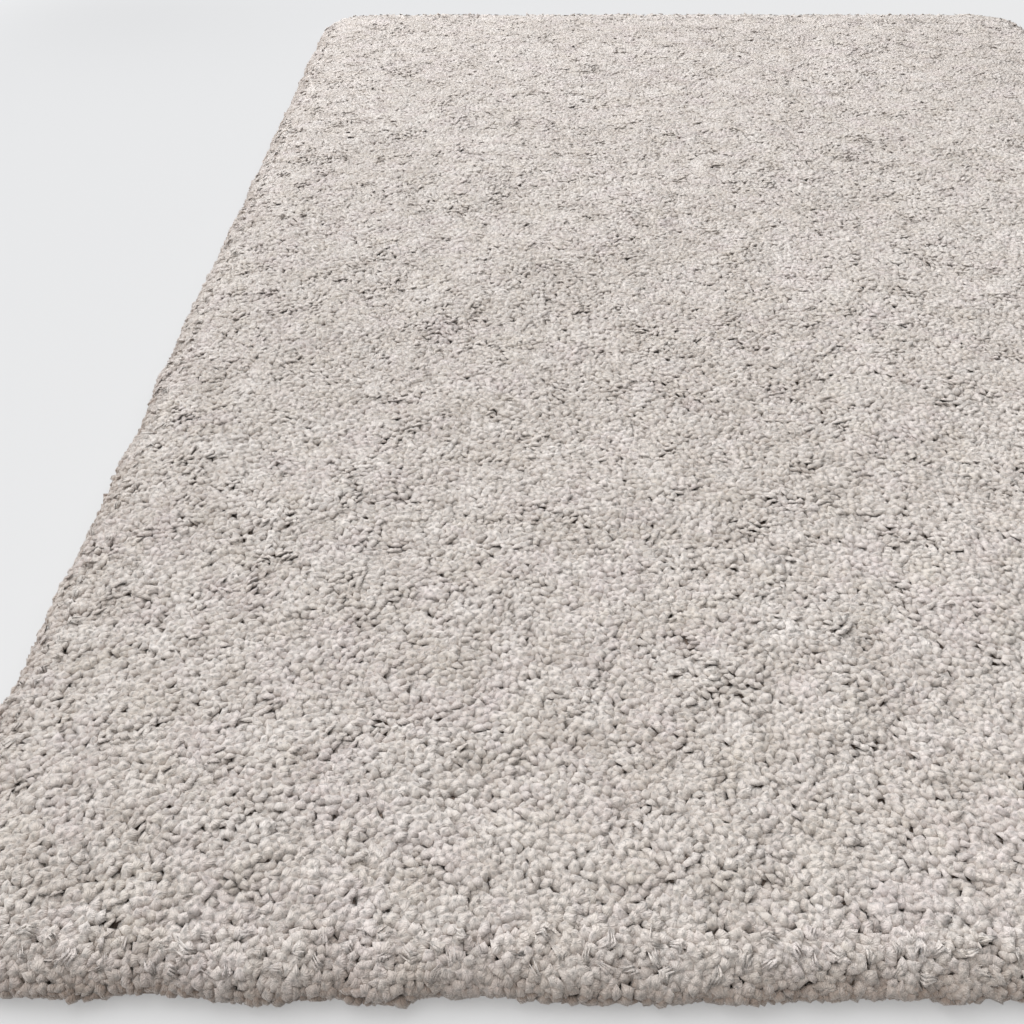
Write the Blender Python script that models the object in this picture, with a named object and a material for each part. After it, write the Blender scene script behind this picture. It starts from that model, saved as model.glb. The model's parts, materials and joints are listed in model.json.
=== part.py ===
"""A rectangular shag rug lying flat: one lumpy slab of pile with locks of yarn round its rim.

Metres, +Z up. The origin is on the floor under the rug's centre, and +Y runs along its length.
"""

import math
import random

import bmesh
import bpy
from mathutils import Vector, noise

# Driving sizes
RUG_WIDTH = 1.60  # along X, over the locks
RUG_LENGTH = 2.30  # along Y, over the locks
PILE_HEIGHT = 0.035  # from the floor to the tips of the tufts
CORNER_RADIUS = 0.100  # of the slab's widest outline
LOCK_REACH = 0.0145  # how far the longest lock stands out of the slab's side
CELL = 0.054  # spacing of the points that carry the lumps

# The rolled-off edge of the pile, from the widest outline inwards
SHOULDER = (  # inset, height
    (0.003, 0.0180),
    (0.012, 0.0240),
    (0.030, 0.0296),
    (0.058, 0.0336),
    (0.092, PILE_HEIGHT),
)
SIDE = (  # inset, height, going down from the shoulder to the floor
    (0.000, 0.011),
    (0.006, 0.000),
)

# Unevenness of the pile
LUMP_HEIGHT = 0.010
LUMP_SPACING = 0.130
WAVE_DEPTH = 0.0045  # in and out along the rim
WAVE_SPACING = 0.15
WAVE_FADE = 0.12  # how far in from the rim the waves die out

# Locks of pile round the rim, four-sided, in turn from a row that lies on the floor and one above it
LOCK_COUNT = 200
LOCK_ROWS = (  # height of the root's middle, of the bend's underside and of the tip's underside
    (0.0115, 0.0000, 0.0000),
    (0.0170, 0.0095, 0.0050),
)
LOCK_SECTIONS = (  # reach out of the slab's side, half of the lock's diagonal: root, bend, tip
    (-0.0140, 0.0068),
    (0.0050, 0.0078),
    (0.0115, 0.0046),
)
LOCK_SWAY = 0.0055  # how far a tip leans along the rim
LOCK_SIZES = (0.80, 1.15)
LOCK_SEED = 11
FLOOR_SNAP = 0.0010  # what of a lock comes this near the floor rests level on it

PILE_COLOUR = (0.55, 0.50, 0.465, 1.0)
PILE_ROUGHNESS = 0.95

SLAB_HALF = Vector((RUG_WIDTH / 2 - LOCK_REACH, RUG_LENGTH / 2 - LOCK_REACH))
ARC_CENTRE = SLAB_HALF - Vector((CORNER_RADIUS, CORNER_RADIUS))


def clear_scene():
    for obj in list(bpy.data.objects):
        bpy.data.objects.remove(obj)


def collection(name):
    made = bpy.data.collections.new(name)
    bpy.context.scene.collection.children.link(made)
    return made


def mesh_object(name, bm, where):
    mesh = bpy.data.meshes.new(name)
    bm.to_mesh(mesh)
    bm.free()
    obj = bpy.data.objects.new(name, mesh)
    where.objects.link(obj)
    return obj


def pile_material():
    material = bpy.data.materials.new("pile_yarn")
    material.use_nodes = True
    shader = material.node_tree.nodes["Principled BSDF"]
    shader.inputs["Base Color"].default_value = PILE_COLOUR
    shader.inputs["Roughness"].default_value = PILE_ROUGHNESS
    shader.inputs["Metallic"].default_value = 0.0
    return material


def lines(half):
    """Where the grid's lines cross one axis: close together over the shoulder, even between."""
    insets = [inset for inset, _ in SHOULDER]
    inner = half - insets[-1]
    cells = math.ceil(2 * inner / CELL)
    middle = [-inner + 2 * inner * i / cells for i in range(1, cells)]
    low = [inset - half for inset in insets]
    return low + middle + [-x for x in reversed(low)]


def rounded(point):
    """A point of a square-cornered plan moved so that each outline turns its corner in an arc."""
    beyond = Vector((abs(point.x), abs(point.y))) - ARC_CENTRE
    if min(beyond) <= 0:
        return point.copy()
    beyond *= max(beyond) / beyond.length
    return Vector(
        (
            math.copysign(ARC_CENTRE.x + beyond.x, point.x),
            math.copysign(ARC_CENTRE.y + beyond.y, point.y),
        )
    )


def wavy(point):
    """The same point moved in or out by the waves of the rim, which fade towards the middle."""
    to_rim = min(SLAB_HALF.x - abs(point.x), SLAB_HALF.y - abs(point.y))
    share = max(0.0, 1 - to_rim / WAVE_FADE)
    swing = noise.noise(Vector((point.x, point.y, 0)) / WAVE_SPACING)
    inward = min(0.0, WAVE_DEPTH * share * (swing - 0.35))
    reach = point.length or 1.0
    return point * (1 + inward / reach)


def lump(point):
    """How far the pile's top stands above or below its mean height at this point of the plan."""
    broad = noise.noise(Vector((point.x, point.y, 3.7)) / LUMP_SPACING)
    fine = noise.noise(Vector((point.x, point.y, 9.1)) / (0.5 * LUMP_SPACING))
    return LUMP_HEIGHT * (0.7 * broad + 0.45 * fine)


def slab(where):
    """The pile as one closed slab: a grid shaped into its top, drawn down its side to the floor."""
    across = lines(SLAB_HALF.x)
    along = lines(SLAB_HALF.y)
    columns, rows = len(across) - 1, len(along) - 1
    bm = bmesh.new()
    bmesh.ops.create_grid(bm, x_segments=columns, y_segments=rows, size=1)
    bm.verts.ensure_lookup_table()
    plan = {}
    for vert in bm.verts:
        i = round((vert.co.x + 1) / 2 * columns)
        j = round((vert.co.y + 1) / 2 * rows)
        ring = min(i, columns - i, j, rows - j)
        square = Vector((across[i], along[j]))
        place = wavy(rounded(square))
        height = SHOULDER[min(ring, len(SHOULDER) - 1)][1]
        share = ring / (len(SHOULDER) - 1)
        vert.co = (*place, height + min(1.0, share) * lump(place))
        plan[vert] = square
    draw_down(bm, plan)
    bmesh.ops.recalc_face_normals(bm, faces=bm.faces)
    for face in bm.faces:
        face.smooth = True
    return mesh_object("shag_rug", bm, where)


def draw_down(bm, plan):
    """Extrudes the grid's border down the side, ring by ring, and closes the underside."""
    border = [edge for edge in bm.edges if edge.is_boundary]
    above_inset = SHOULDER[0][0]
    for inset, height in SIDE:
        before = {vert for edge in border for vert in edge.verts}
        made = bmesh.ops.extrude_edge_only(bm, edges=border)["geom"]
        border = [part for part in made if isinstance(part, bmesh.types.BMEdge) and part.is_boundary]
        for vert in {vert for edge in border for vert in edge.verts}:
            beside = [edge.other_vert(vert) for edge in vert.link_edges]
            above = next(neighbour for neighbour in beside if neighbour in before)
            square = plan[above].copy()
            for axis in range(2):
                if abs(abs(square[axis]) - (SLAB_HALF[axis] - above_inset)) < 1e-6:
                    square[axis] = math.copysign(SLAB_HALF[axis] - inset, square[axis])
            vert.co = (*wavy(rounded(square)), height)
            plan[vert] = square
        above_inset = inset
    bmesh.ops.contextual_create(bm, geom=border)


def rim_point(distance):
    """The point of the slab's widest outline at this distance round it, and the way out from there."""
    straights = (2 * ARC_CENTRE.y, 2 * ARC_CENTRE.x) * 2
    arc = math.pi / 2 * CORNER_RADIUS
    turn = 0.0
    corner = Vector((ARC_CENTRE.x, -ARC_CENTRE.y))
    for straight in straights:
        out = Vector((math.cos(turn), math.sin(turn)))
        along = Vector((-out.y, out.x))
        if distance < straight:
            return corner + along * distance + out * CORNER_RADIUS, out
        distance -= straight
        corner = corner + along * straight
        if distance < arc:
            angle = turn + distance / CORNER_RADIUS
            out = Vector((math.cos(angle), math.sin(angle)))
            return corner + out * CORNER_RADIUS, out
        distance -= arc
        turn += math.pi / 2
    return rim_point(0.0)


def locks():
    """All the locks as one mesh of separate four-sided yarns, each rooted inside the slab."""
    curve = bpy.data.curves.new("locks", "CURVE")
    curve.dimensions = "3D"
    curve.bevel_depth = 1.0
    curve.bevel_resolution = 0
    curve.twist_mode = "Z_UP"
    curve.use_fill_caps = True
    rim = 4 * (ARC_CENTRE.x + ARC_CENTRE.y) + 2 * math.pi * CORNER_RADIUS
    pitch = rim / LOCK_COUNT
    chance = random.Random(LOCK_SEED)
    for number in range(LOCK_COUNT):
        point, out = rim_point((number + chance.uniform(0.4, 0.6)) * pitch)
        point = wavy(point)
        sway = Vector((-out.y, out.x)) * LOCK_SWAY * chance.uniform(-1, 1)
        add_lock(curve, LOCK_ROWS[number % 2], point, out, sway, chance.uniform(*LOCK_SIZES))
    return as_mesh(bpy.data.objects.new("locks_guide", curve))


def add_lock(curve, row, point, out, sway, size):
    """One lock from its root inside the slab, over its bend, to its drooping tip."""
    yarn = curve.splines.new("POLY")
    yarn.points.add(2)
    root_height, bend_height, tip_height = row
    heights = (root_height, bend_height, tip_height)
    lean = (0.0, 0.35, 1.0)
    for index, spot in enumerate(yarn.points):
        reach, radius = LOCK_SECTIONS[index]
        radius *= size
        half_height = radius * math.cos(math.pi / 4)
        rise = heights[index] + (half_height if index else 0.0)
        place = point + out * reach * min(1.0, size) + sway * lean[index]
        spot.co = (*place, rise, 1)
        spot.radius = radius
        spot.tilt = math.pi / 4


def as_mesh(curve_object):
    """A mesh object in place of a curve, its caps welded on and its lowest points set on the floor."""
    bpy.context.scene.collection.objects.link(curve_object)
    bpy.context.view_layer.update()
    graph = bpy.context.evaluated_depsgraph_get()
    mesh = bpy.data.meshes.new_from_object(curve_object.evaluated_get(graph))
    bm = bmesh.new()
    bm.from_mesh(mesh)
    bmesh.ops.remove_doubles(bm, verts=bm.verts, dist=1e-6)
    for vert in bm.verts:
        if vert.co.z < FLOOR_SNAP:
            vert.co.z = 0.0
    bmesh.ops.recalc_face_normals(bm, faces=bm.faces)
    bm.to_mesh(mesh)
    bm.free()
    made = bpy.data.objects.new("locks", mesh)
    made.matrix_world = curve_object.matrix_world
    bpy.data.objects.remove(curve_object)
    return made


def main():
    clear_scene()
    parts = collection("shag_rug_parts")
    helpers = collection("shag_rug_helpers")
    rug = slab(parts)
    rug.data.materials.append(pile_material())
    rim_locks = locks()
    helpers.objects.link(rim_locks)
    rim_locks.hide_render = True
    rim_locks.display_type = "WIRE"
    join = rug.modifiers.new("locks", "BOOLEAN")
    join.operation = "UNION"
    join.solver = "EXACT"
    join.object = rim_locks


main()
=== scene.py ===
"""A deep-pile shag rug in a plain studio: tufts, ground cloth, materials, light and camera."""

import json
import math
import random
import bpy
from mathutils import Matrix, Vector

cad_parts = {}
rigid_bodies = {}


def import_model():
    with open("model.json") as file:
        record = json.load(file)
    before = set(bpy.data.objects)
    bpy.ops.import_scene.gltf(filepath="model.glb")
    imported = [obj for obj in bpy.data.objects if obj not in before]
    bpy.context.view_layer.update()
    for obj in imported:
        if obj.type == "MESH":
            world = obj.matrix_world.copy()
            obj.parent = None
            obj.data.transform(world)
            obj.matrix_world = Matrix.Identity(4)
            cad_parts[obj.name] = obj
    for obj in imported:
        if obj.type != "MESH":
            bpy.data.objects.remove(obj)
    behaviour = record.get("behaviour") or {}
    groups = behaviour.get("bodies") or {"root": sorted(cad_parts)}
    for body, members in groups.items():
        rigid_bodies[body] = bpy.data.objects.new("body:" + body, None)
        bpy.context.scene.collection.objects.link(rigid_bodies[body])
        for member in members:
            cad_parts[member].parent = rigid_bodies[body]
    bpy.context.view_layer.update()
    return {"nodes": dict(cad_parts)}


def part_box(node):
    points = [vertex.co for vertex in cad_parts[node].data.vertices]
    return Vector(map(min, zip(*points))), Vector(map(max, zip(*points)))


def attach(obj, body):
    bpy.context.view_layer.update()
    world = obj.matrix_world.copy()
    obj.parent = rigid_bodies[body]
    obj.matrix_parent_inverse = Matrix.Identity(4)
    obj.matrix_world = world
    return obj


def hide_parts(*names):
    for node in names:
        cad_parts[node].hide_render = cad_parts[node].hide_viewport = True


bl_info = {
    "name": "Shag Rug",
    "version": (1, 0, 0),
    "blender": (4, 5, 0),
    "location": "3D View > Sidebar > Shag Rug",
    "description": "Dresses a flat rug solid with a dense pile of soft, rounded tufts",
    "category": "Add Mesh",
}

import bmesh
import bpy
from bpy.props import FloatProperty, FloatVectorProperty, IntProperty, PointerProperty
from mathutils import Vector, noise
from mathutils.bvhtree import BVHTree

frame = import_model()

RUG = "shag_rug"  # the solid that the pieces stand for
BODY = "root"
HALF_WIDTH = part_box(RUG)[1][0]
HALF_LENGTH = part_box(RUG)[1][1]

# The solid's outline, inside its locks, and the waves along it
LOCK_REACH = 0.0145
SLAB_HALF = Vector((HALF_WIDTH - LOCK_REACH, HALF_LENGTH - LOCK_REACH))
CORNER_RADIUS = 0.100
ARC_CENTRE = SLAB_HALF - Vector((CORNER_RADIUS, CORNER_RADIUS))
WAVE_DEPTH = 0.0045
WAVE_SPACING = 0.15
WAVE_SHIFT = 0.35  # draws the waves inwards
WAVE_FADE = 0.12

# The guide that carries the tufts: how it turns down over the rug's border to the floor
BORDER_PROFILE = (  # inset from the solid's outline, height
    (0.0020, 0.0035),
    (-0.0045, 0.0095),
    (-0.0015, 0.0160),
    (0.0080, 0.0222),
    (0.0230, 0.0278),
    (0.0450, 0.0322),
)
GUIDE_CELL = 0.030
PAST_BORDER = 1.0  # the inset that is noted on all that lies inside the border

# The bed of roots that fills the pile below the tufts' heads
BED_PROFILE = (  # inset from the solid's outline, height
    (0.0015, 0.0050),
    (0.0030, 0.0105),
    (0.0120, 0.0165),
    (0.0350, 0.0230),
)
BED_CELL = 0.030
BED_SINK = 0.0062  # below the solid's top
BED_BOTTOM = 0.0025

# The ground cloth
CLOTH_INSET = 0.008
CLOTH_THICKNESS = 0.0020
CLOTH_CELL = 0.050
CLOTH_EDGE_CELL = 0.010
THREAD_SPACING = 0.0025

WELD = 1e-6  # points nearer than this are one

# The picture and the camera's sensor
PIXELS = 1024
SENSOR_MM = 36.0
CLIP_START = 0.01

FLOOR_SIZE = 40
PANEL_COLOUR = (0.93, 0.955, 1.0)
PANEL_PARTS = 3  # each way: the floor's tone takes the panel as this many small lights


# ---------------------------------------------------------------- settings


class PileSettings(bpy.types.PropertyGroup):
    """Sizes of the tufts and how they stand"""

    spacing: FloatProperty(
        name="Spacing",
        description="Least distance between the roots of two tufts",
        default=0.0049,
        unit="LENGTH",
    )
    tuft_radius: FloatProperty(
        name="Tuft radius",
        description="Half the width of a tuft's head",
        default=0.0063,
        unit="LENGTH",
    )
    tuft_depth: FloatProperty(
        name="Tuft depth",
        description="From the top of a tuft to its hidden root",
        default=0.0078,
        unit="LENGTH",
    )
    clump: FloatProperty(
        name="Clump",
        description="Width of the clumps into which the tufts draw together",
        default=0.030,
        unit="LENGTH",
    )
    lift: FloatProperty(
        name="Lift",
        description="How unevenly high the tufts stand",
        default=0.0018,
        unit="LENGTH",
    )
    lean: FloatProperty(
        name="Lean",
        description="How far tufts lean with the lie of the pile",
        default=0.45,
        subtype="FACTOR",
    )
    border: FloatProperty(
        name="Border",
        description="How far in from the rug's rim its longer, drooping tufts reach",
        default=0.034,
        unit="LENGTH",
    )
    bands: IntProperty(
        name="Bands",
        description="How many pieces the pile is made in, along the rug",
        default=6,
        min=1,
    )
    seed: IntProperty(
        name="Seed",
        description="Another number gives another scatter of tufts",
        default=4,
    )


class YarnSettings(bpy.types.PropertyGroup):
    """Colours of the yarn, with the dark root colour for its painted shade"""

    pale: FloatVectorProperty(
        name="Pale yarn",
        description="Colour at the tips of the palest tufts",
        default=(0.90, 0.84, 0.79),
        subtype="COLOR",
        size=3,
    )
    deep: FloatVectorProperty(
        name="Deep yarn",
        description="Colour at the tips of the darkest tufts",
        default=(0.71, 0.64, 0.58),
        subtype="COLOR",
        size=3,
    )
    # The root colour is painted shade: the yarn is mixed towards it down between the tufts, where tufts lie
    # low, down the rug's sides and in the gaps between fibres, and the bed wears it
    root: FloatVectorProperty(
        name="Root",
        description="Colour of the yarn down between the tufts",
        default=(0.30, 0.235, 0.195),
        subtype="COLOR",
        size=3,
    )
    rose: FloatVectorProperty(
        name="Rose cast",
        description="Tint of the pinkish tufts",
        default=(0.80, 0.71, 0.69),
        subtype="COLOR",
        size=3,
    )
    sand: FloatVectorProperty(
        name="Sand cast",
        description="Tint of the beige tufts",
        default=(0.76, 0.69, 0.61),
        subtype="COLOR",
        size=3,
    )
    cloth: FloatVectorProperty(
        name="Ground cloth",
        description="Colour of the woven cloth under the pile",
        default=(0.52, 0.45, 0.36),
        subtype="COLOR",
        size=3,
    )


class StudioSettings(bpy.types.PropertyGroup):
    """Camera, floor and light"""

    camera_x: FloatProperty(
        name="Camera aside",
        description="Where the camera stands along the rug's width",
        default=-0.366,
        unit="LENGTH",
    )
    camera_y: FloatProperty(
        name="Camera back",
        description="Where the camera stands along the rug's length",
        default=-1.4535,
        unit="LENGTH",
    )
    camera_z: FloatProperty(
        name="Camera height",
        description="Height of the camera over the floor",
        default=0.697,
        unit="LENGTH",
    )
    camera_pitch: FloatProperty(
        name="Camera pitch",
        description="How far the camera looks down",
        default=math.radians(40.2),
        subtype="ANGLE",
    )
    focal_pixels: FloatProperty(
        name="Focal length in pixels",
        description="Focal length over the width of one pixel of the picture",
        default=1037.0,
    )
    floor: FloatProperty(
        name="Floor",
        description="How bright the floor looks",
        default=0.83,
    )
    floor_glow: FloatProperty(
        name="Floor glow",
        description="How much of the floor's brightness is its own light, which keeps shadows pale",
        default=0.28,
    )
    fill_high: FloatProperty(
        name="Light from above",
        description="Strength of the soft light straight overhead",
        default=1.34,
    )
    fill_low: FloatProperty(
        name="Light from the sides",
        description="Strength of the soft light at the horizon",
        default=0.28,
    )
    fill_back: FloatProperty(
        name="Light from behind",
        description="How much stronger the soft light is behind the rug than before it",
        default=0.42,
    )
    fill_left: FloatProperty(
        name="Light from the left",
        description="How much stronger the soft light is on the left than on the right",
        default=0.6,
    )
    key: FloatProperty(
        name="Key light",
        description="Strength of the soft panel behind the rug, where it reaches the rug's middle",
        default=0.8,
    )
    key_place: FloatVectorProperty(
        name="Key place",
        description="Where the middle of the panel is",
        default=(-0.9, 0.85, 1.4),
        subtype="XYZ",
        unit="LENGTH",
        size=3,
    )
    key_size: FloatProperty(
        name="Key size",
        description="Side of the square panel",
        default=3.0,
        unit="LENGTH",
    )


# ---------------------------------------------------------------- node helpers


class Wire:
    """An output socket that takes part in Python sums: each sum adds its Math node"""

    def __init__(self, tree, socket):
        self.tree = tree
        self.socket = socket

    def math(self, operation, first, second=None):
        node = self.tree.nodes.new("ShaderNodeMath")
        node.operation = operation
        for place, value in enumerate((first, second)):
            if value is not None:
                feed(self.tree, node.inputs[place], value)
        return Wire(self.tree, node.outputs[0])

    def __add__(self, other):
        return self.math("ADD", self, other)

    def __radd__(self, other):
        return self.math("ADD", other, self)

    def __sub__(self, other):
        return self.math("SUBTRACT", self, other)

    def __rsub__(self, other):
        return self.math("SUBTRACT", other, self)

    def __mul__(self, other):
        return self.math("MULTIPLY", self, other)

    def __rmul__(self, other):
        return self.math("MULTIPLY", other, self)

    def __truediv__(self, other):
        return self.math("DIVIDE", self, other)

    def __rtruediv__(self, other):
        return self.math("DIVIDE", other, self)

    def __ge__(self, other):
        return 1 - self.math("LESS_THAN", self, other)

    def __lt__(self, other):
        return self.math("LESS_THAN", self, other)

    def sine(self):
        return self.math("SINE", self)

    def clamped(self):
        """Held between 0 and 1"""
        node = self.tree.nodes.new("ShaderNodeClamp")
        feed(self.tree, node.inputs[0], self)
        return Wire(self.tree, node.outputs[0])

    def at_most(self, most):
        return self.math("MINIMUM", self, most)

    def at_least(self, least):
        return self.math("MAXIMUM", self, least)


def feed(tree, socket, value):
    """Links a wire to an input, or sets the input's own value"""
    if isinstance(value, Wire):
        tree.links.new(value.socket, socket)
    else:
        socket.default_value = value


class Bench:
    """Adds nodes to one tree: their settings first, then what their inputs hold"""

    def __init__(self, tree):
        self.tree = tree

    def add(self, kind, settings=None, **inputs):
        node = self.tree.nodes.new(kind)
        for name, value in (settings or {}).items():
            setattr(node, name, value)
        for name, value in inputs.items():
            feed(self.tree, find_socket(node.inputs, name), value)
        return Node(self.tree, node)

    def mix(self, share, first, second):
        """A colour between two others"""
        node = self.add("ShaderNodeMix", {"data_type": "RGBA"}, Factor=share).node
        colours = [socket for socket in node.inputs if socket.type == "RGBA"]
        for socket, value in zip(colours, (first, second), strict=True):
            feed(self.tree, socket, value if isinstance(value, Wire) else (*value, 1))
        return Wire(self.tree, next(socket for socket in node.outputs if socket.type == "RGBA"))

    def vector(self, operation, first, second=None, scale=None):
        """The result of one Vector Math node"""
        node = self.tree.nodes.new("ShaderNodeVectorMath")
        node.operation = operation
        feed(self.tree, node.inputs[0], first)
        if second is not None:
            feed(self.tree, node.inputs[1], second)
        if scale is not None:
            feed(self.tree, node.inputs["Scale"], scale)
        output = "Value" if operation in {"LENGTH", "DISTANCE", "DOT_PRODUCT"} else "Vector"
        return Wire(self.tree, node.outputs[output])


class Node:
    """A placed node, whose outputs are read as wires by name"""

    def __init__(self, tree, node):
        self.tree = tree
        self.node = node

    def __getitem__(self, name):
        return Wire(self.tree, find_socket(self.node.outputs, name))


def find_socket(sockets, name):
    """The enabled socket of this name, with _ for a space"""
    wanted = name.replace("_", " ").lower()
    found = [socket for socket in sockets if socket.name.lower() == wanted and socket.enabled]
    if not found:
        raise KeyError(f"no socket {name} among {[socket.name for socket in sockets]}")
    return found[0]


# ---------------------------------------------------------------- objects


def collection(name):
    made = bpy.data.collections.get(name) or bpy.data.collections.new(name)
    if name not in bpy.context.scene.collection.children:
        bpy.context.scene.collection.children.link(made)
    return made


def link(obj, where="Rug"):
    collection(where).objects.link(obj)
    return obj


def mesh_from(bm, name, smooth=True):
    for face in bm.faces:
        face.smooth = smooth
    mesh = bpy.data.meshes.new(name)
    bm.to_mesh(mesh)
    bm.free()
    return mesh


def dress(obj):
    """Hides the rug's solid, which the piece stands for, and lets the piece ride where the solid does"""
    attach(obj, BODY)
    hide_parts(RUG)


def cad_surface():
    """The rug's solid as one merged mesh"""
    bm = bmesh.new()
    bm.from_mesh(frame["nodes"][RUG].data)
    bmesh.ops.remove_doubles(bm, verts=bm.verts, dist=WELD)
    return bm


def rounded(point):
    """A point of a square-cornered plan moved so that each outline turns its corner in an arc"""
    beyond = Vector((abs(point.x), abs(point.y))) - ARC_CENTRE
    if min(beyond) <= 0:
        return point.copy()
    beyond *= max(beyond) / beyond.length
    return Vector(
        (
            math.copysign(ARC_CENTRE.x + beyond.x, point.x),
            math.copysign(ARC_CENTRE.y + beyond.y, point.y),
        )
    )


def wavy(point):
    """The same point moved in with the waves of the solid's rim, which fade towards the middle"""
    to_rim = min(SLAB_HALF.x - abs(point.x), SLAB_HALF.y - abs(point.y))
    share = max(0.0, 1 - to_rim / WAVE_FADE)
    swing = noise.noise(Vector((point.x, point.y, 0)) / WAVE_SPACING)
    inward = min(0.0, WAVE_DEPTH * share * (swing - WAVE_SHIFT))
    return point * (1 + inward / (point.length or 1.0))


def lines(half, cell, insets):
    """Where a grid's lines cross one axis: at the insets from each edge, and evenly between"""
    inner = half - insets[-1]
    cells = math.ceil(2 * inner / cell)
    middle = [-inner + 2 * inner * i / cells for i in range(1, cells)]
    low = [inset - half for inset in insets]
    return low + middle + [-x for x in reversed(low)]


def top_of_solid(point, rays):
    """Height of the solid's top at a point of its plan"""
    return rays.ray_cast(Vector((*point, 1.0)), Vector((0, 0, -1)))[0].z


def draped_grid(profile, cell, sink=0.0):
    """An open grid over the rug: its border follows a profile, the rest lies on the solid, or below it"""
    insets = [inset for inset, _ in profile]
    across = lines(SLAB_HALF.x, cell, insets)
    along = lines(SLAB_HALF.y, cell, insets)
    columns, rows = len(across) - 1, len(along) - 1
    solid = cad_surface()
    rays = BVHTree.FromBMesh(solid)
    solid.free()
    bm = bmesh.new()
    bmesh.ops.create_grid(bm, x_segments=columns, y_segments=rows, size=1)
    own_inset = bm.verts.layers.float.new("inset")
    for vert in bm.verts:
        i = round((vert.co.x + 1) / 2 * columns)
        j = round((vert.co.y + 1) / 2 * rows)
        ring = min(i, columns - i, j, rows - j)
        place = wavy(rounded(Vector((across[i], along[j]))))
        if ring < len(profile):
            vert[own_inset], height = profile[ring]
        else:
            vert[own_inset] = PAST_BORDER
            height = top_of_solid(place, rays) - sink
        vert.co = (*place, height)
    return bm


def pile_guide():
    """The surface on which the heads of the tufts lie"""
    mesh = mesh_from(draped_grid(BORDER_PROFILE, GUIDE_CELL), "pile_guide")
    return link(bpy.data.objects.new("pile_guide", mesh), "Guides")


def closed_below(bm, bottom):
    """Draws an open grid's border down to a flat underside and closes it"""
    border = [edge for edge in bm.edges if edge.is_boundary]
    made = bmesh.ops.extrude_edge_only(bm, edges=border)["geom"]
    for part in made:
        if isinstance(part, bmesh.types.BMVert):
            part.co.z = bottom
    rim = [part for part in made if isinstance(part, bmesh.types.BMEdge) and part.is_boundary]
    bmesh.ops.contextual_create(bm, geom=rim)
    bmesh.ops.recalc_face_normals(bm, faces=bm.faces)
    return bm


def bed_plate():
    """A plate that follows the solid's top from below"""
    return mesh_from(closed_below(draped_grid(BED_PROFILE, BED_CELL, BED_SINK), BED_BOTTOM), "pile_bed")


def cloth_plate():
    """A flat plate on the floor with the rug's rounded outline"""
    profile = ((CLOTH_INSET, CLOTH_THICKNESS), (CLOTH_INSET + CLOTH_EDGE_CELL, CLOTH_THICKNESS))
    bm = draped_grid(profile, CLOTH_CELL)
    for vert in bm.verts:
        vert.co.z = CLOTH_THICKNESS
    return mesh_from(closed_below(bm, 0.0), "ground_cloth")


# ---------------------------------------------------------------- tufts


# The sizes of each kind of tuft, in tuft radii across and tuft depths in height
HEAD_SIZE = (1.0, 0.5)
DROOP_SIZE = (0.9, 0.62)
WISP_SIZE = (1.45, 0.45)

DROOP_RINGS = ((3, 0.5, 0.95), (4, 1.0, 0.35))  # corners, reach, height, from the tip down
STRAND_GAP = 0.24
STRAND_THICKNESS = (0.16, 0.35)  # across and upwards


def stored(bm, name, size, where):
    """A tuft's shape as an object: its unit coordinates are kept in an attribute, then it gets its size"""
    pile = bpy.context.scene.rug_pile
    across, upwards = size[0] * pile.tuft_radius, size[1] * pile.tuft_depth
    own = bm.verts.layers.float_vector.new("yarn")
    for vert in bm.verts:
        vert[own] = vert.co
        vert.co = (vert.co.x * across, vert.co.y * across, vert.co.z * upwards)
    bmesh.ops.recalc_face_normals(bm, faces=bm.faces)
    where.objects.link(bpy.data.objects.new(name, mesh_from(bm, name)))


def head_shapes(seed, count=12):
    """Tufts seen from their cut ends: low heads with two tops, of eight or ten faces"""
    chance = random.Random(seed)
    where = bpy.data.collections.new("Heads")
    for number in range(count):
        bm = bmesh.new()
        corners = 4 + number % 2
        for way in (-1, 1):
            top = (way * chance.uniform(0.25, 0.45), chance.uniform(-0.2, 0.2), chance.uniform(0.85, 1.0))
            bm.verts.new(top)
        for corner in range(corners):
            angle = math.tau * (corner + chance.uniform(-0.22, 0.22)) / corners
            reach = chance.uniform(0.95, 1.25)
            height = chance.uniform(-0.25, 0.2)
            bm.verts.new((reach * math.cos(angle), reach * math.sin(angle), height))
        bmesh.ops.convex_hull(bm, input=bm.verts)
        stored(bm, f"head_{number}", HEAD_SIZE, where)
    return where


def droop_shapes(seed, count=8):
    """Tufts of the border: longer, with a bend, and seen from their sides"""
    chance = random.Random(seed)
    where = bpy.data.collections.new("Droops")
    for number in range(count):
        bm = bmesh.new()
        bend = Vector((chance.uniform(-0.3, 0.3), chance.uniform(-0.3, 0.3), 0))
        bm.verts.new((0, 0, -1))
        for corners, wide, height in DROOP_RINGS:
            for corner in range(corners):
                angle = math.tau * (corner + chance.uniform(-0.2, 0.2)) / corners
                reach = wide * chance.uniform(0.9, 1.2)
                level = height + chance.uniform(-0.15, 0.1)
                bm.verts.new(bend * level + Vector((reach * math.cos(angle), reach * math.sin(angle), level)))
        bmesh.ops.convex_hull(bm, input=bm.verts)
        stored(bm, f"droop_{number}", DROOP_SIZE, where)
    return where


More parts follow.
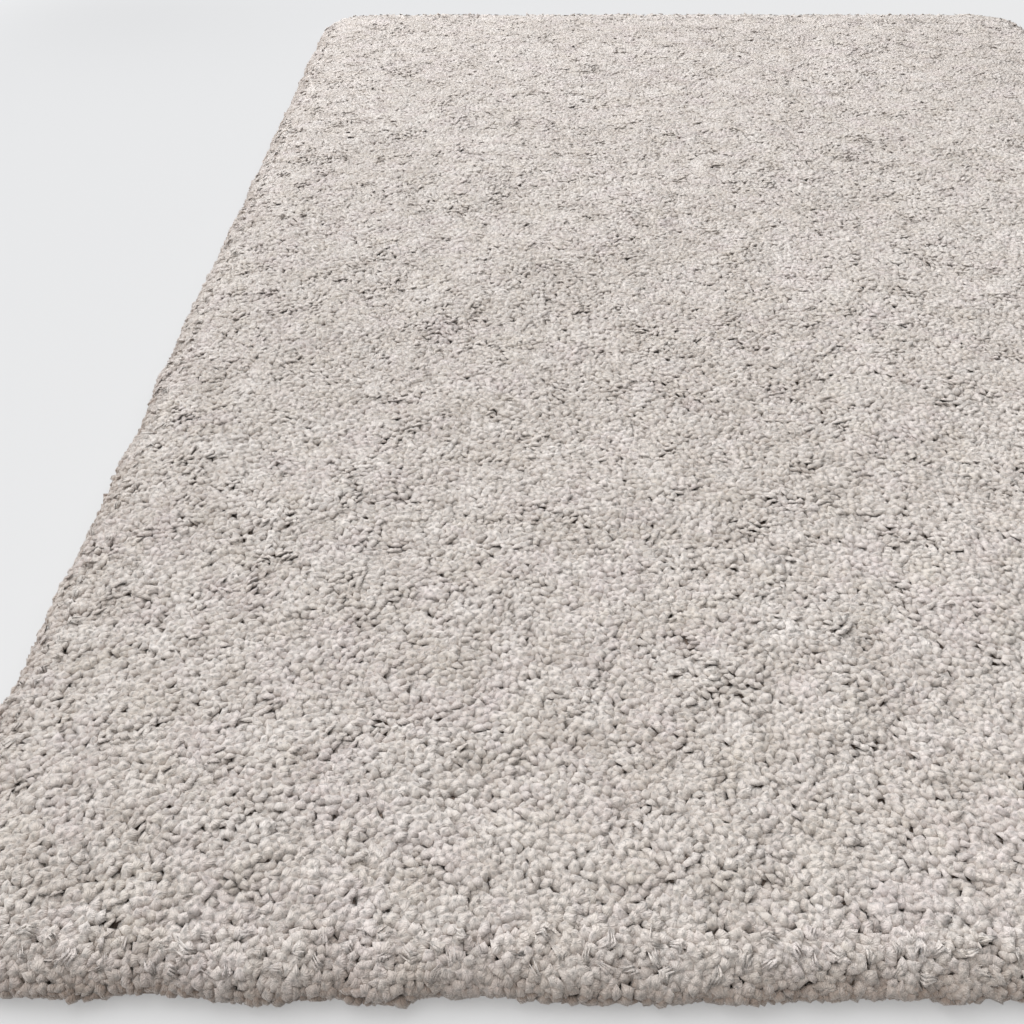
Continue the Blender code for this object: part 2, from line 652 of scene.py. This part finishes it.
def wisp_shapes(seed, count=8):
    """Loose locks of the border: three strands side by side, arched and bent, lying on the tufts"""
    chance = random.Random(seed)
    where = bpy.data.collections.new("Wisps")
    wide, thick = STRAND_THICKNESS
    for number in range(count):
        bm = bmesh.new()
        hook = chance.uniform(0.15, 0.5)
        for strand in (-1, 0, 1):
            aside = STRAND_GAP * strand
            far_end = (chance.uniform(0.6, 1.0), aside * 1.6 + chance.uniform(-0.15, 0.15) - 0.3, 0.0)
            ends = (bm.verts.new((-0.9, aside * 0.3, -0.1)), bm.verts.new(far_end))
            ring = []
            for corner in range(3):
                angle = math.tau * corner / 3 + 0.5
                along = chance.uniform(-0.1, 0.2)
                middle = (along, hook + aside + wide * math.cos(angle), 0.9 + thick * math.sin(angle))
                ring.append(bm.verts.new(middle))
            for corner in range(3):
                for end in ends:
                    bm.faces.new((ring[corner], ring[corner - 1], end))
        stored(bm, f"wisp_{number}", WISP_SIZE, where)
    return where


# How the tufts are scattered. A noise's scale is its waves in a metre
POINTS_TRIED = 14.0  # in a square of one spacing, before those that come too near are dropped
CLUMP_NOISE = 70.0
CLUMP_STRAY = 0.9  # how far the clumps' outlines stray, in clump widths
DRIFT_NOISE = 14.0
LEAN_WITH_DRIFT = 2.5
LEAN_TO_CLUMP = 1.5
LEAN_OWN_WAY = 0.8

# How high they stand, in shares of the lift
LEVEL_NOISE = 60.0
LEVEL_WAVES = 1.5
LEVEL_CLUMP = 1.1
LEVEL_OWN = 0.4
LEVEL_MIDDLE = 0.5
HOLLOW_NOISE = 42.0
HOLLOW_FROM = 0.65
HOLLOW_SLOPE = 9.0
HOLLOW_DEPTH = 1.1
RIM_WIDTH = 0.03
RIM_NOISE = 17.0
RIM_SWELL = 0.010

# How unlike each other they are
SIZE_LEAST = (0.84, 0.84, 0.85)
SIZE_MOST = (1.22, 1.22, 1.15)
ROUGH_NOISE = 260.0
ROUGH_REACH = 0.0030


def pile_tree(material):
    """The tree that scatters tufts over a guide surface and keeps those of one band"""
    tree = bpy.data.node_groups.new("Pile", "GeometryNodeTree")
    sockets = (
        ("Guide", "INPUT", "NodeSocketGeometry"),
        ("Shapes", "INPUT", "NodeSocketCollection"),
        ("Shape Count", "INPUT", "NodeSocketInt"),
        ("Spacing", "INPUT", "NodeSocketFloat"),
        ("Clump", "INPUT", "NodeSocketFloat"),
        ("Lift", "INPUT", "NodeSocketFloat"),
        ("Lean", "INPUT", "NodeSocketFloat"),
        ("Droop", "INPUT", "NodeSocketFloat"),
        ("Sink", "INPUT", "NodeSocketFloat"),
        ("From", "INPUT", "NodeSocketFloat"),
        ("To", "INPUT", "NodeSocketFloat"),
        ("Inset From", "INPUT", "NodeSocketFloat"),
        ("Inset To", "INPUT", "NodeSocketFloat"),
        ("Seed", "INPUT", "NodeSocketInt"),
        ("Pile", "OUTPUT", "NodeSocketGeometry"),
    )
    for name, way, kind in sockets:
        tree.interface.new_socket(name, in_out=way, socket_type=kind)
    bench = Bench(tree)
    given = bench.add("NodeGroupInput")
    spacing = given["Spacing"]
    scattered = bench.add(
        "GeometryNodeDistributePointsOnFaces",
        {"distribute_method": "POISSON"},
        Mesh=given["Guide"],
        Distance_Min=spacing,
        Density_Max=POINTS_TRIED / (spacing * spacing),
        Seed=given["Seed"],
    )
    place = bench.add("GeometryNodeInputPosition")["Position"]
    normal = scattered["Normal"]

    def chances(least, most, seed, kind="FLOAT"):
        """A number or vector of each tuft's own"""
        settings = {"data_type": kind}
        return bench.add("FunctionNodeRandomValue", settings, Min=least, Max=most, Seed=seed)["Value"]

    def waves(output, scale, detail):
        """Noise over the rug about 0, as a vector (Color) or as a number (Fac)"""
        found = bench.add("ShaderNodeTexNoise", Vector=place, Scale=scale, Detail=detail)[output]
        return found - 0.5 if output == "Fac" else bench.vector("SUBTRACT", found, (0.5, 0.5, 0.5))

    # Tufts draw together into clumps of uneven outline, which stand a little higher in their middles
    stray = bench.vector("SCALE", waves("Color", CLUMP_NOISE, 1.0), scale=given["Clump"] * CLUMP_STRAY)
    strayed = bench.vector("ADD", place, stray)
    clump = bench.add("ShaderNodeTexVoronoi", Vector=strayed, Scale=1.0 / given["Clump"])
    to_clump = bench.vector("SUBTRACT", clump["Position"], strayed)
    to_clump = bench.vector("SCALE", to_clump, scale=1.0 / given["Clump"])

    # The lie of the pile: broad drifts, clumps and each tuft's own way
    drift = waves("Color", DRIFT_NOISE, 2.0)
    own_way = chances((-1, -1, -0.4), (1, 1, 0.4), 11, "FLOAT_VECTOR")
    way = normal
    for pull, share in ((drift, LEAN_WITH_DRIFT), (to_clump, LEAN_TO_CLUMP), (own_way, LEAN_OWN_WAY)):
        way = bench.vector("ADD", way, bench.vector("SCALE", pull, scale=given["Lean"] * share))
    way = bench.vector("ADD", way, bench.add("ShaderNodeCombineXYZ", Z=0 - given["Droop"])["Vector"])
    upright = bench.add("FunctionNodeAlignRotationToVector", {"axis": "Z"}, Vector=way)["Rotation"]
    turn = bench.add("ShaderNodeCombineXYZ", Z=chances(0.0, math.tau, 5))["Vector"]
    turned = bench.add(
        "FunctionNodeRotateRotation",
        {"rotation_space": "LOCAL"},
        Rotation=upright,
        Rotate_By=bench.add("FunctionNodeEulerToRotation", Euler=turn)["Rotation"],
    )["Rotation"]

    # How high each stands
    hollow = bench.add("ShaderNodeTexNoise", Vector=place, Scale=HOLLOW_NOISE, Detail=1.0)["Fac"]
    hollow = ((hollow - HOLLOW_FROM) * HOLLOW_SLOPE).clamped()
    level = waves("Fac", LEVEL_NOISE, 1.0) * LEVEL_WAVES + chances(-LEVEL_OWN, LEVEL_OWN, 7)
    level = level - clump["Distance"] * LEVEL_CLUMP + LEVEL_MIDDLE - hollow * HOLLOW_DEPTH
    inset = bench.add("GeometryNodeInputNamedAttribute", {"data_type": "FLOAT"}, Name="inset")["Attribute"]
    at_rim = (1 - inset / RIM_WIDTH).clamped()
    rise = given["Lift"] * level + at_rim * waves("Fac", RIM_NOISE, 0.0) * RIM_SWELL
    levelled = bench.add(
        "GeometryNodeStoreNamedAttribute",
        {"data_type": "FLOAT", "domain": "POINT"},
        Geometry=scattered["Points"],
        Name="level",
        Value=level,
    )["Geometry"]
    moved = bench.add(
        "GeometryNodeSetPosition",
        Geometry=levelled,
        Offset=bench.vector("SCALE", normal, scale=rise - given["Sink"]),
    )["Geometry"]

    along = bench.add("ShaderNodeSeparateXYZ", Vector=place)["Y"]
    inside = (along >= given["From"]) * (along < given["To"])
    inside = inside * (inset >= given["Inset From"]) * (inset < given["Inset To"])
    shapes = bench.add(
        "GeometryNodeCollectionInfo",
        {"transform_space": "ORIGINAL"},
        Collection=given["Shapes"],
        Separate_Children=True,
        Reset_Children=True,
    )["Instances"]
    tufts = bench.add(
        "GeometryNodeInstanceOnPoints",
        Points=moved,
        Selection=inside,
        Instance=shapes,
        Pick_Instance=True,
        Instance_Index=chances(0, given["Shape Count"] - 1, 1, "INT"),
        Rotation=turned,
        Scale=chances(SIZE_LEAST, SIZE_MOST, 3, "FLOAT_VECTOR"),
    )["Instances"]
    for name, seed in (("tone", 21), ("cast", 22)):
        tufts = bench.add(
            "GeometryNodeStoreNamedAttribute",
            {"data_type": "FLOAT", "domain": "INSTANCE"},
            Geometry=tufts,
            Name=name,
            Value=chances(0.0, 1.0, seed),
        )["Geometry"]

    # Plain mesh from here on: roughened a little, and nothing of it under the floor
    solid = bench.add("GeometryNodeRealizeInstances", Geometry=tufts)["Geometry"]
    rough = bench.vector("SCALE", waves("Color", ROUGH_NOISE, 1.0), scale=ROUGH_REACH)
    solid = bench.add("GeometryNodeSetPosition", Geometry=solid, Offset=rough)["Geometry"]
    parts = bench.add("ShaderNodeSeparateXYZ", Vector=place)
    rested = bench.add("ShaderNodeCombineXYZ", X=parts["X"], Y=parts["Y"], Z=parts["Z"].at_least(0.0))
    solid = bench.add("GeometryNodeSetPosition", Geometry=solid, Position=rested["Vector"])["Geometry"]
    finished = bench.add("GeometryNodeSetMaterial", Geometry=solid, Material=material)["Geometry"]
    bench.add("NodeGroupOutput", Pile=finished)
    return tree


def grown(name, guide, tree, values):
    """The plain mesh that a tree grows on a guide, as a piece of its own"""
    modifier = guide.modifiers.new(name, "NODES")
    modifier.node_group = tree
    for socket in tree.interface.items_tree:
        if socket.in_out == "INPUT" and socket.name in values:
            modifier[socket.identifier] = values[socket.name]
    graph = bpy.context.evaluated_depsgraph_get()
    mesh = bpy.data.meshes.new_from_object(guide.evaluated_get(graph), depsgraph=graph)
    mesh.name = name
    guide.modifiers.remove(modifier)
    return link(bpy.data.objects.new(name, mesh))


# ---------------------------------------------------------------- materials


# Mixing of the yarn's tones: noise scales in waves per metre, the rest as shares
BROAD_NOISE = 4.5
PATCH_NOISE = 26.0
PATCH_SHARE = 2.6
TONE_SHARE = 0.20
PALE_LESS = 0.1
CAST_NOISE = 19.0
CAST_SHARE = 0.8

# How painted shade darkens the yarn: within a tuft towards its root, where a tuft lies low, and down the
# rug's sides from this height
DEPTH_PAINTED_SHADE = 0.2
DEPTH_PAINTED_SHADE_SIDE = 0.5
LOW_PAINTED_SHADE = 0.45
SIDE_PAINTED_SHADE = 0.7
SIDE_HEIGHT = 0.0300
SIDE_SLOPE = 50.0

# Its fibres: curls that run over all, and strands round each tuft, as bumps and as painted shade in the gaps
# between them
CURL_NOISE = 330.0
CURL_PAINTED_SHADE = 0.15
CURL_BUMP = 0.32
STRANDS_ROUND = 12.0
STRANDS_UP = 5.0
STRAND_WOBBLE = 12.0
STRAND_PAINTED_SHADE = 0.1
STRAND_PAINTED_SHADE_SIDE = 0.4
STRAND_BUMP = 0.16
FIBRE_DEPTH = 0.0025

SHEEN = 0.8
SHEEN_TINT = (1.0, 0.96, 0.92)


def principled(name):
    material = bpy.data.materials.new(name)
    material.use_nodes = True
    bench = Bench(material.node_tree)
    shader = material.node_tree.nodes["Principled BSDF"]
    return material, bench, shader


def yarn_material():
    """Soft matt yarn: patches of rose, sand and grey, each tuft its own tone, with painted shade at its root
    """
    yarn = bpy.context.scene.rug_yarn
    material, bench, shader = principled("yarn")
    place = bench.add("ShaderNodeTexCoord")["Object"]
    height = bench.add("ShaderNodeSeparateXYZ", Vector=place)["Z"]
    own = bench.add("ShaderNodeAttribute", {"attribute_name": "yarn"})["Vector"]
    tone = bench.add("ShaderNodeAttribute", {"attribute_name": "tone"})["Fac"]
    cast = bench.add("ShaderNodeAttribute", {"attribute_name": "cast"})["Fac"]
    level = bench.add("ShaderNodeAttribute", {"attribute_name": "level"})["Fac"]
    tuft = bench.add("ShaderNodeSeparateXYZ", Vector=own)

    # Tone and cast: broad drifts, patches of a few tufts and each tuft's own
    broad = bench.add("ShaderNodeTexNoise", Vector=place, Scale=BROAD_NOISE, Detail=2.0)["Fac"]
    patch = bench.add("ShaderNodeTexNoise", Vector=place, Scale=PATCH_NOISE, Detail=3.0, Roughness=0.5)["Fac"]
    light = (tone * TONE_SHARE + patch * PATCH_SHARE + broad - PALE_LESS - PATCH_SHARE * 0.5).clamped()
    colour = bench.mix(light, yarn.deep, yarn.pale)
    drift = bench.add("ShaderNodeTexNoise", Vector=place, Scale=CAST_NOISE, Detail=3.0)["Color"]
    drift = bench.add("ShaderNodeSeparateXYZ", Vector=drift)
    rosy = (cast * 0.5 + drift["X"] * 3.4 - 1.9).clamped()
    sandy = (drift["Y"] * 3.6 - cast * 0.5 - 1.6).clamped()
    colour = bench.mix(rosy * CAST_SHARE, colour, yarn.rose)
    colour = bench.mix(sandy * CAST_SHARE, colour, yarn.sand)

    # Painted shade: darker down between the tufts, where a tuft lies low, and down the rug's sides
    depth = (0.9 - tuft["Z"]).clamped()
    low = (0.15 - level * 0.45).clamped()
    side = ((SIDE_HEIGHT - height) * SIDE_SLOPE).clamped()
    shade = depth * (DEPTH_PAINTED_SHADE + side * DEPTH_PAINTED_SHADE_SIDE) + low * LOW_PAINTED_SHADE + side * SIDE_PAINTED_SHADE
    colour = bench.mix(shade.clamped(), colour, yarn.root)

    # Fibres: strands round the tuft, plainest on the rug's sides, and curls that run over all; their gaps get
    # painted shade in the colour
    curl = bench.add(
        "ShaderNodeTexNoise", Vector=place, Scale=CURL_NOISE, Detail=2.0, Roughness=0.6, Distortion=0.8
    )["Fac"]
    around = tuft["Y"].math("ARCTAN2", tuft["Y"], tuft["X"])
    turns = around * STRANDS_ROUND + tuft["Z"] * STRANDS_UP + curl * STRAND_WOBBLE + tone * 40.0
    strand = turns.sine() * 0.5 + 0.5
    between = ((0.5 - curl) * 4.0).clamped() * CURL_PAINTED_SHADE + strand * (STRAND_PAINTED_SHADE + side * STRAND_PAINTED_SHADE_SIDE)
    colour = bench.mix(between.clamped(), colour, yarn.root)
    feed(bench.tree, shader.inputs["Base Color"], colour)
    fibre = curl * CURL_BUMP - strand * STRAND_BUMP
    bump = bench.add("ShaderNodeBump", Strength=1.0, Distance=FIBRE_DEPTH, Height=fibre)["Normal"]
    feed(bench.tree, shader.inputs["Normal"], bump)
    shader.inputs["Roughness"].default_value = 0.95
    shader.inputs["Specular IOR Level"].default_value = 0.15
    shader.inputs["Sheen Weight"].default_value = SHEEN
    shader.inputs["Sheen Roughness"].default_value = 0.5
    shader.inputs["Sheen Tint"].default_value = (*SHEEN_TINT, 1)
    return material


def bed_material():
    """Roots of the yarn, matt, coloured dark as painted shade deep in the pile"""
    yarn = bpy.context.scene.rug_yarn
    material, bench, shader = principled("pile_roots")
    place = bench.add("ShaderNodeTexCoord")["Object"]
    grain = bench.add("ShaderNodeTexNoise", Vector=place, Scale=420.0, Detail=3.0)["Fac"]
    # The bed's colour is the painted shade of the deep pile
    dark = tuple(1.1 * part for part in yarn.root)
    feed(bench.tree, shader.inputs["Base Color"], bench.mix(grain, dark, yarn.root))
    bump = bench.add("ShaderNodeBump", Strength=1.0, Distance=0.003, Height=grain)["Normal"]
    feed(bench.tree, shader.inputs["Normal"], bump)
    shader.inputs["Roughness"].default_value = 1.0
    shader.inputs["Specular IOR Level"].default_value = 0.05
    return material


def cloth_material():
    """Plain-woven ground cloth, with its threads crossing under and over"""
    yarn = bpy.context.scene.rug_yarn
    material, bench, shader = principled("ground_cloth")
    place = bench.add("ShaderNodeTexCoord")["Object"]
    parts = bench.add("ShaderNodeSeparateXYZ", Vector=place)
    threads = math.pi / THREAD_SPACING
    warp = (parts["X"] * threads).sine()
    weft = (parts["Y"] * threads).sine()
    weave = (warp * weft) * 0.5 + 0.5
    grain = bench.add("ShaderNodeTexNoise", Vector=place, Scale=150.0, Detail=3.0)["Fac"]
    dark = tuple(0.72 * part for part in yarn.cloth)
    feed(bench.tree, shader.inputs["Base Color"], bench.mix((weave * 0.6 + grain * 0.4), dark, yarn.cloth))
    bump = bench.add("ShaderNodeBump", Strength=0.7, Distance=0.0008, Height=weave + grain * 0.5)["Normal"]
    feed(bench.tree, shader.inputs["Normal"], bump)
    shader.inputs["Roughness"].default_value = 0.95
    return material


def floor_material():
    """A floor whose tone evens out the panel's light, so that it looks the same all over"""
    studio = bpy.context.scene.rug_studio
    material, bench, shader = principled("studio_floor")
    panel = Vector(studio.key_place)
    turn = panel.to_track_quat("Z", "Y")
    place = bench.add("ShaderNodeTexCoord")["Object"]
    steps = [studio.key_size * ((step + 0.5) / PANEL_PARTS - 0.5) for step in range(PANEL_PARTS)]
    direct = 0.0
    for across in steps:
        for along in steps:
            ray = bench.vector("SUBTRACT", tuple(panel + turn @ Vector((across, along, 0))), place)
            far = bench.vector("LENGTH", ray)
            facing = bench.vector("DOT_PRODUCT", ray, tuple(panel.normalized()))
            height = bench.add("ShaderNodeSeparateXYZ", Vector=ray)["Z"]
            direct = direct + facing * height / (far * far * far * far)
    direct = direct * (studio.key * panel.length**3 / panel.z / PANEL_PARTS**2)
    sky = studio.fill_low + (studio.fill_high - studio.fill_low) * 2 / 3
    grey = ((studio.floor - studio.floor_glow) / (sky + direct)).at_most(0.95)
    feed(bench.tree, shader.inputs["Base Color"], bench.mix(grey, (0, 0, 0), (1, 1, 1)))
    shader.inputs["Roughness"].default_value = 1.0
    shader.inputs["Specular IOR Level"].default_value = 0.0
    shader.inputs["Emission Color"].default_value = (1, 1, 1, 1)
    shader.inputs["Emission Strength"].default_value = studio.floor_glow
    return material


# ---------------------------------------------------------------- operators


class RUG_OT_pile(bpy.types.Operator):
    """Scatter the tufts over the rug, a band at a time"""

    bl_idname = "rug.pile"
    bl_label = "Pile"

    def execute(self, context):
        pile = context.scene.rug_pile
        guide = pile_guide()
        tree = pile_tree(yarn_material())
        heads = head_shapes(pile.seed)
        droops = droop_shapes(pile.seed + 1)
        wisps = wisp_shapes(pile.seed + 2)
        kinds = (  # name, shapes, bands, spacing, lift, droop, sink, inset from, inset to
            ("pile", heads, pile.bands, pile.spacing, pile.lift, 0.0, 0.0035, pile.border, 2.0),
            ("pile_border", droops, 2, 0.92 * pile.spacing, 1.3 * pile.lift, 0.15, 0.0035, -1.0, pile.border),
            ("pile_wisps", wisps, 1, 2.7 * pile.spacing, 1.3 * pile.lift, 0.1, 0.0004, 0.006, 0.032),
        )
        for name, shapes, bands, spacing, lift, droop, sink, inset_from, inset_to in kinds:
            values = {
                "Shapes": shapes,
                "Shape Count": len(shapes.objects),
                "Spacing": spacing,
                "Clump": pile.clump,
                "Lift": lift,
                "Lean": pile.lean,
                "Droop": droop,
                "Sink": sink,
                "Inset From": inset_from,
                "Inset To": inset_to,
                "Seed": pile.seed,
            }
            step = 2 * HALF_LENGTH / bands
            for band in range(bands):
                start = -HALF_LENGTH + band * step
                values["From"] = start if band else -2 * HALF_LENGTH
                values["To"] = start + step if band < bands - 1 else 2 * HALF_LENGTH
                dress(grown(f"{name}_{band + 1}", guide, tree, values))
        bpy.data.objects.remove(guide)
        return {"FINISHED"}


class RUG_OT_pile_bed(bpy.types.Operator):
    """Fill the pile's depth below the tufts' heads"""

    bl_idname = "rug.pile_bed"
    bl_label = "Pile bed"

    def execute(self, context):
        mesh = bed_plate()
        mesh.materials.append(bed_material())
        dress(link(bpy.data.objects.new("pile_bed", mesh)))
        return {"FINISHED"}


class RUG_OT_ground_cloth(bpy.types.Operator):
    """Lay the woven cloth that holds the pile"""

    bl_idname = "rug.ground_cloth"
    bl_label = "Ground cloth"

    def execute(self, context):
        mesh = cloth_plate()
        mesh.materials.append(cloth_material())
        cloth = link(bpy.data.objects.new("ground_cloth", mesh))
        dress(cloth)
        pile = [obj for obj in collection("Rug").objects if obj.name.startswith("pile")]
        return {"FINISHED"}


class RUG_OT_studio(bpy.types.Operator):
    """Set the floor, the lights and the camera"""

    bl_idname = "rug.studio"
    bl_label = "Studio"

    def execute(self, context):
        studio = context.scene.rug_studio
        bpy.ops.mesh.primitive_plane_add(size=FLOOR_SIZE)
        floor = context.object
        floor.name = "studio_floor"
        floor.data.materials.append(floor_material())

        world = bpy.data.worlds.new("studio")
        world.use_nodes = True
        bench = Bench(world.node_tree)
        sky = world.node_tree.nodes["Background"]
        sky.inputs["Color"].default_value = (1, 1, 1, 1)
        way = bench.add("ShaderNodeSeparateXYZ", Vector=bench.add("ShaderNodeTexCoord")["Generated"])
        rise = (studio.fill_high - studio.fill_low) * way["Z"].clamped()
        lean = studio.fill_back * way["Y"] - studio.fill_left * way["X"]
        strength = (studio.fill_low + rise + lean).at_least(0.0)
        feed(bench.tree, sky.inputs["Strength"], strength)
        context.scene.world = world

        place = Vector(studio.key_place)
        panel = bpy.data.lights.new("key", "AREA")
        panel.shape = "SQUARE"
        panel.size = studio.key_size
        panel.color = PANEL_COLOUR
        panel.energy = studio.key * math.pi**2 * place.length**3 / place.z
        key = link(bpy.data.objects.new("key", panel), "Studio")
        key.location = place
        key.rotation_euler = place.to_track_quat("Z", "Y").to_euler()

        lens = bpy.data.cameras.new("camera")
        lens.sensor_width = SENSOR_MM
        lens.lens = studio.focal_pixels / PIXELS * SENSOR_MM
        lens.clip_start = CLIP_START
        camera = link(bpy.data.objects.new("camera", lens), "Studio")
        camera.location = (studio.camera_x, studio.camera_y, studio.camera_z)
        camera.rotation_euler = (math.pi / 2 - studio.camera_pitch, 0, 0)
        context.scene.camera = camera
        context.scene.view_settings.view_transform = "Standard"
        return {"FINISHED"}


STEPS = (RUG_OT_pile_bed, RUG_OT_pile, RUG_OT_ground_cloth, RUG_OT_studio)
GROUPS = (("rug_pile", PileSettings), ("rug_yarn", YarnSettings), ("rug_studio", StudioSettings))


class RUG_PT_panel(bpy.types.Panel):
    """Lists the steps and the settings"""

    bl_idname = "RUG_PT_panel"
    bl_label = "Shag Rug"
    bl_space_type = "VIEW_3D"
    bl_region_type = "UI"
    bl_category = "Shag Rug"

    def draw(self, context):
        for step in STEPS:
            self.layout.operator(step.bl_idname)
        for name, group in GROUPS:
            box = self.layout.box()
            for setting in group.__annotations__:
                box.prop(getattr(context.scene, name), setting)


def register():
    for name, group in GROUPS:
        bpy.utils.register_class(group)
        setattr(bpy.types.Scene, name, PointerProperty(type=group))
    for step in (*STEPS, RUG_PT_panel):
        bpy.utils.register_class(step)


def unregister():
    for step in reversed((*STEPS, RUG_PT_panel)):
        bpy.utils.unregister_class(step)
    for name, group in reversed(GROUPS):
        delattr(bpy.types.Scene, name)
        bpy.utils.unregister_class(group)


def main():
    register()
    bpy.ops.rug.pile_bed()
    bpy.ops.rug.pile()
    bpy.ops.rug.ground_cloth()
    bpy.ops.rug.studio()


if __name__ == "__main__":
    main()
